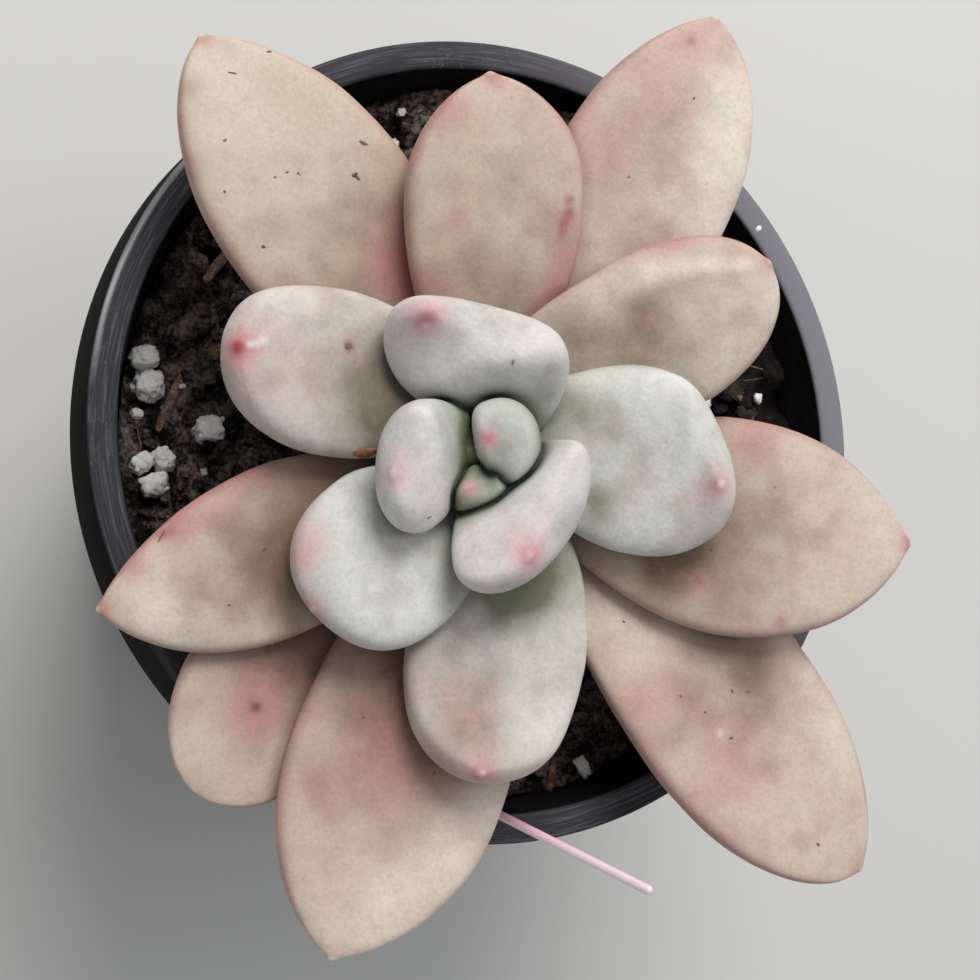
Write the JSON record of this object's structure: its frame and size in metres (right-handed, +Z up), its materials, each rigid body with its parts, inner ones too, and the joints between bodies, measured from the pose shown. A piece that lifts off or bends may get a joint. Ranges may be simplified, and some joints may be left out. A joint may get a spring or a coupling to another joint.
{
  "type": "potted opalina graptoveria",
  "caption": "Potted opalina graptoveria, a loose rosette of thick, pale, mealy leaves with pink tips on a short stem, in a round black nursery pot filled with peat and perlite.",
  "frame": {"origin": "middle of the pot's base, on the surface that it stands on", "axes": "+Z up out of the pot; +Y toward the top of the picture in the view from above and +X toward its right; the rosette leans toward -X"},
  "size_m": [0.1068, 0.1174, 0.104],
  "materials": {
    "pot_plastic": "satin",
    "peat_mix": "rough, damp peat",
    "stem_skin": "matt",
    "outer_leaf": "mealy, matt",
    "middle_leaf": "mealy, matt",
    "inner_leaf": "mealy, matt",
    "stick_plastic": "smooth"
  },
  "bodies": {
    "root": {"pot": "pot_plastic", "soil": "peat_mix", "stem": "stem_skin", "leaf_01": "outer_leaf", "leaf_02": "outer_leaf", "leaf_03": "outer_leaf", "leaf_04": "outer_leaf", "leaf_05": "outer_leaf", "leaf_06": "outer_leaf", "leaf_07": "outer_leaf", "leaf_08": "outer_leaf", "leaf_09": "outer_leaf", "leaf_10": "middle_leaf", "leaf_11": "middle_leaf", "leaf_12": "middle_leaf", "leaf_13": "middle_leaf", "leaf_14": "inner_leaf", "leaf_15": "inner_leaf", "leaf_16": "inner_leaf", "leaf_17": "inner_leaf", "leaf_18": "inner_leaf", "marker_stick": "stick_plastic"}
  },
  "joints": []
}
